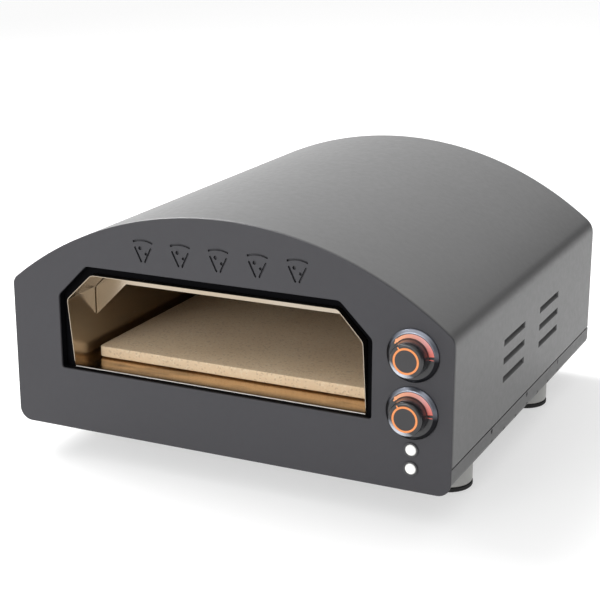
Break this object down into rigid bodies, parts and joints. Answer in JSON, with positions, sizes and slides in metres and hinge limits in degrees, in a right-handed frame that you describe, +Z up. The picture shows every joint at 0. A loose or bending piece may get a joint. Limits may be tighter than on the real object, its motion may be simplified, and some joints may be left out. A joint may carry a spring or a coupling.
{
  "type": "countertop pizza oven",
  "caption": "Arched sheet-steel countertop electric pizza oven with an open mouth, a stainless baking chamber, a sliding stone and two dial thermostats.",
  "frame": {"origin": "on the worktop, under the centre of the bounding box", "axes": "+Z up, +Y from the mouth towards the rear panel, +X to the right seen from the front"},
  "size_m": [0.46, 0.483, 0.26],
  "materials": {
    "panel_paint": "textured satin charcoal stove paint",
    "shell_paint": "textured satin grey stove paint",
    "tray_paint": "textured satin grey stove paint",
    "foot_paint": "satin light grey paint",
    "black_enamel": "matt black enamel",
    "stainless": "polished stainless sheet",
    "zinc_steel": "zinc plated sheet",
    "screw_steel": "blackened steel fasteners",
    "cordierite": "dry pressed cordierite",
    "element_sheath": "oxidised heater sheath",
    "ceramic_white": "unglazed steatite",
    "mineral_wool": "mineral wool blanket",
    "knob_black": "satin black moulding",
    "bezel_black": "gloss black moulding",
    "lit_orange": "lit orange ring",
    "lamp_white": "lit white lens",
    "inlet_plastic": "matt black moulding",
    "pad_rubber": "matt black rubber",
    "lead_sleeve": "silicone sleeved leads",
    "copper": "copper capillary tube"
  },
  "bodies": {
    "root": {"front_panel": "panel_paint", "stencil_backing": "panel_paint", "front_panel_nuts": "zinc_steel", "mouth_collar": "black_enamel", "outer_shell": "shell_paint", "shell_screws": "screw_steel", "rear_panel": "shell_paint", "rear_panel_screws": "screw_steel", "base_tray": "tray_paint", "foot_bolts": "zinc_steel", "chamber_liner": "stainless", "chamber_floor": "stainless", "chamber_back": "stainless", "mouth_baffle": "stainless", "element_pan": "stainless", "stone_rests": "stainless", "left_chamber_rail": "zinc_steel", "right_chamber_rail": "zinc_steel", "base_heat_shield": "zinc_steel", "insulation_jacket": "mineral_wool", "insulation_rear": "mineral_wool", "insulation_base": "mineral_wool", "control_bulkhead": "zinc_steel", "upper_element": "element_sheath", "lower_element": "element_sheath", "element_bushings": "ceramic_white", "element_hangers": "stainless", "element_cradles": "stainless", "thermostat_screws": "zinc_steel", "thermal_cutout": "ceramic_white", "terminal_block": "ceramic_white", "power_inlet": "inlet_plastic", "inlet_screws": "screw_steel", "wiring": "lead_sleeve", "foot_front_left": "foot_paint", "pad_front_left": "pad_rubber", "foot_front_right": "foot_paint", "pad_front_right": "pad_rubber", "foot_rear_left": "foot_paint", "pad_rear_left": "pad_rubber", "foot_rear_right": "foot_paint", "pad_rear_right": "pad_rubber", "upper_bezel": "bezel_black", "upper_thermostat": "zinc_steel", "upper_capillary": "copper", "upper_lamp_holder": "inlet_plastic", "upper_lamp_lens": "lamp_white", "lower_bezel": "bezel_black", "lower_thermostat": "zinc_steel", "lower_capillary": "copper", "lower_lamp_holder": "inlet_plastic", "lower_lamp_lens": "lamp_white"},
    "stone": {"pizza_stone": "cordierite"},
    "upper_control": {"upper_knob": "knob_black", "upper_knob_ring": "lit_orange", "upper_spindle": "zinc_steel"},
    "lower_control": {"lower_knob": "knob_black", "lower_knob_ring": "lit_orange", "lower_spindle": "zinc_steel"}
  },
  "joints": [
    {"name": "upper_knob_turn", "type": "hinge", "parent": "root", "child": "upper_control", "pos_m": [0.192, -0.22325, 0.1587], "axis": [0, 1, 0], "range_deg": [-25, 118]},
    {"name": "lower_knob_turn", "type": "hinge", "parent": "root", "child": "lower_control", "pos_m": [0.192, -0.22325, 0.105], "axis": [0, 1, 0], "range_deg": [-25, 118]},
    {"name": "stone_slide", "type": "slide", "parent": "root", "child": "stone", "axis": [0, -1, 0], "range_m": [0, 0.38]}
  ]
}
